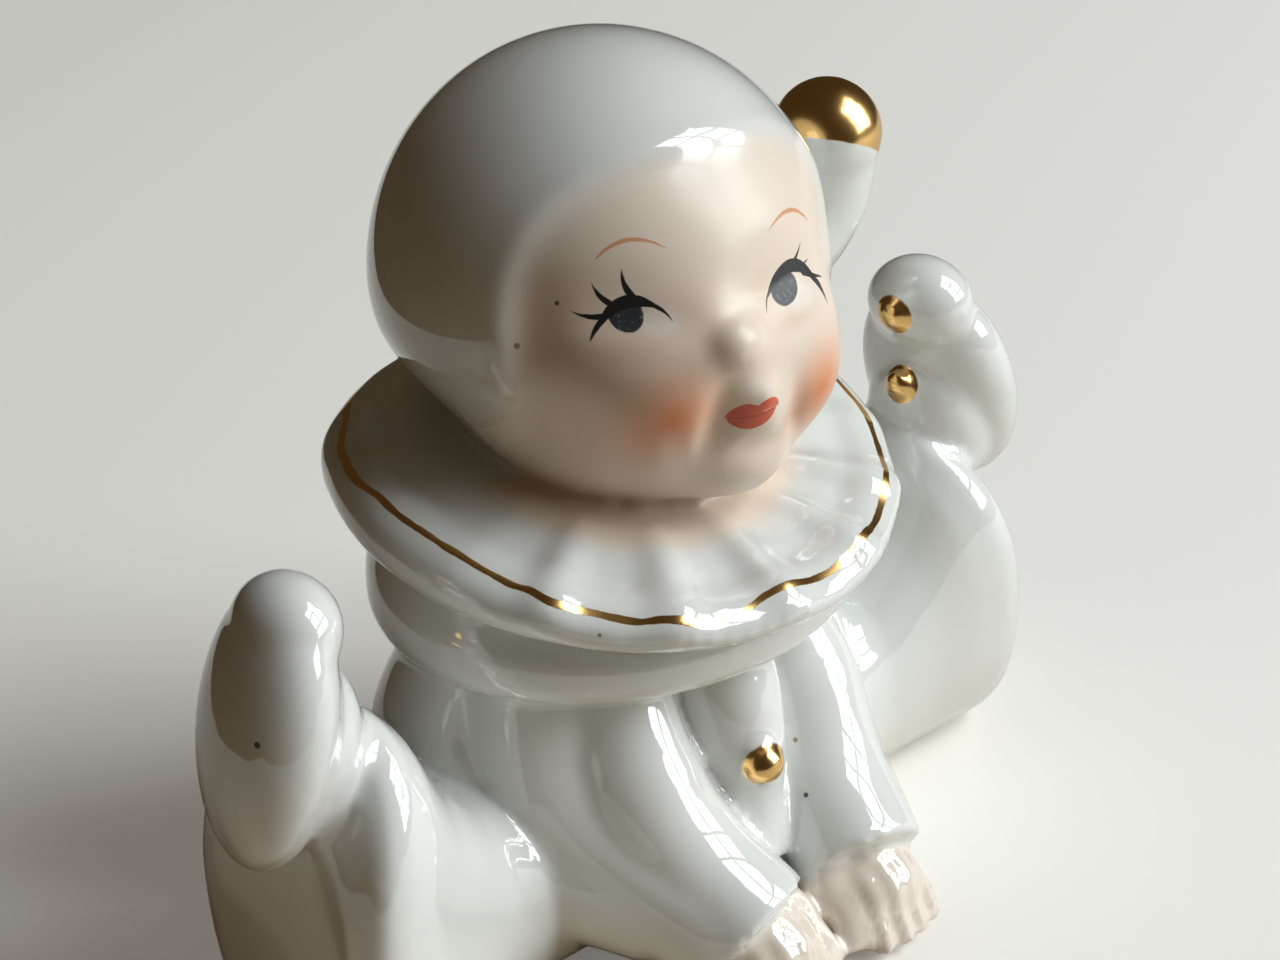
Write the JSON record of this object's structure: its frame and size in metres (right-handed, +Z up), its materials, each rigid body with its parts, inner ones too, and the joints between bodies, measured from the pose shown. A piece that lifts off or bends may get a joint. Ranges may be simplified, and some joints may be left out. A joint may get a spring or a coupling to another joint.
{
  "type": "porcelain pierrot figurine",
  "caption": "Small glazed porcelain clown doll in a hood and ruff, sitting with its legs spread wide and its hands on the ground in front.",
  "frame": {"origin": "on the flat underside, below the middle of the seat, midway between the two feet", "axes": "+Z up through the hooded head, -Y the way the chest faces, +X the figure's left foot"},
  "size_m": [0.1019, 0.0555, 0.0862],
  "materials": {
    "porcelain": "clear gloss glaze over white, with hand-painted face and bright gold details"
  },
  "bodies": {
    "root": {"pierrot_figurine": "porcelain"}
  },
  "joints": []
}
